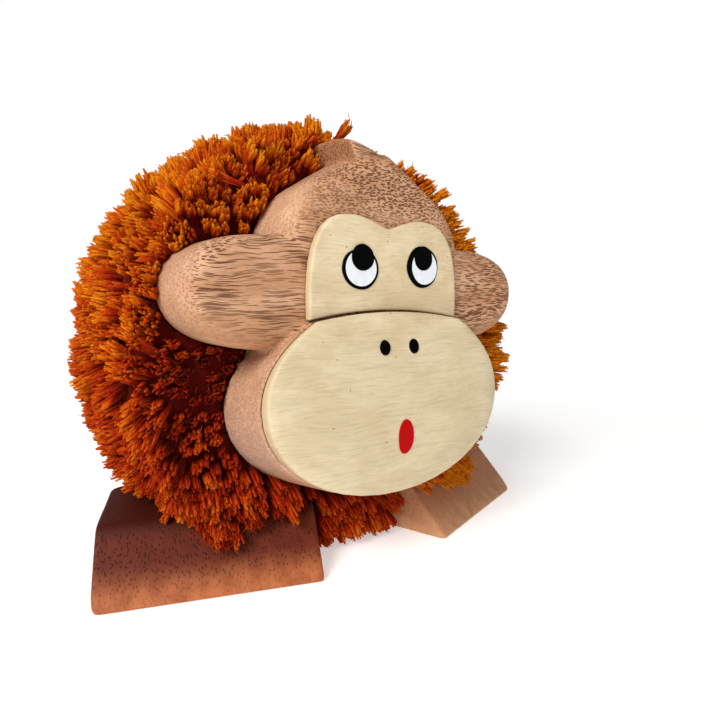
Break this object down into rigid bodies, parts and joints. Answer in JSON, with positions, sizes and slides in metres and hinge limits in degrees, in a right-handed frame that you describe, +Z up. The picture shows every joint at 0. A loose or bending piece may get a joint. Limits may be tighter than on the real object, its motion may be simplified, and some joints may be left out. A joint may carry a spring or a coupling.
{
  "type": "monkey figurine",
  "caption": "Small standing monkey figurine: a sawn wooden head with pale plates and a painted face, a yarn pompom body and splayed wooden feet. Decoration for a shelf or desk.",
  "frame": {"origin": "on the ground under the middle of the figure's bounding box", "axes": "+Z up, the face looks along -Y, +X towards the figure's right foot as the viewer sees it"},
  "size_m": [0.1262, 0.1054, 0.1073],
  "materials": {
    "brown_wood": "sanded and oiled",
    "pale_wood": "sanded and lightly oiled",
    "foot_wood": "sanded and oiled",
    "core_wood": "turned, bare",
    "black_paint": "brushed paint, satin",
    "white_paint": "brushed paint, satin",
    "red_paint": "brushed paint, satin",
    "rust_yarn": "cut yarn ends",
    "tie_cord": "twisted cord"
  },
  "bodies": {
    "root": {"head_board": "brown_wood", "face_plate": "pale_wood", "muzzle_plate": "pale_wood", "left_eye_outline": "black_paint", "right_eye_outline": "black_paint", "left_eye_white": "white_paint", "right_eye_white": "white_paint", "left_pupil": "black_paint", "right_pupil": "black_paint", "left_nostril": "black_paint", "right_nostril": "black_paint", "mouth": "red_paint", "body_core": "core_wood", "binding_cord": "tie_cord", "neck_dowel": "core_wood", "yarn_pompom": "rust_yarn", "left_foot": "foot_wood", "left_leg_dowel": "core_wood", "right_foot": "foot_wood", "right_leg_dowel": "core_wood"}
  },
  "joints": []
}
